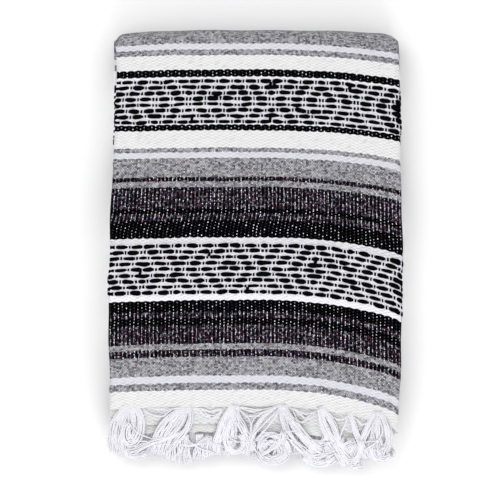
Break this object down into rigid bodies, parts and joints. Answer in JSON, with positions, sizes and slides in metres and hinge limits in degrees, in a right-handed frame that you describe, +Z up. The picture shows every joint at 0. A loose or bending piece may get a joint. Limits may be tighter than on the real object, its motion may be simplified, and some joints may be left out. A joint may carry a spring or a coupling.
{
  "type": "folded woven serape blanket",
  "caption": "Striped, fringed serape blanket, folded in quarters both ways and laid flat, with its knotted white fringe at the front.",
  "frame": {"origin": "centre of the base of the folded blanket's bounding box", "axes": "+Z up from the surface that it lies on; +Y towards the smooth back fold, away from the fringe; +X towards the folded side, away from the selvedges"},
  "size_m": [0.3174, 0.48, 0.0444],
  "materials": {
    "striped_cloth": "matt coarse weave",
    "white_cloth": "matt coarse weave",
    "fringe_yarn": "matt twisted yarn"
  },
  "bodies": {
    "root": {"outer_layer": "striped_cloth", "under_layer": "white_cloth", "folded_layers": "striped_cloth", "upper_fringe": "fringe_yarn", "lower_fringe": "fringe_yarn"}
  },
  "joints": []
}
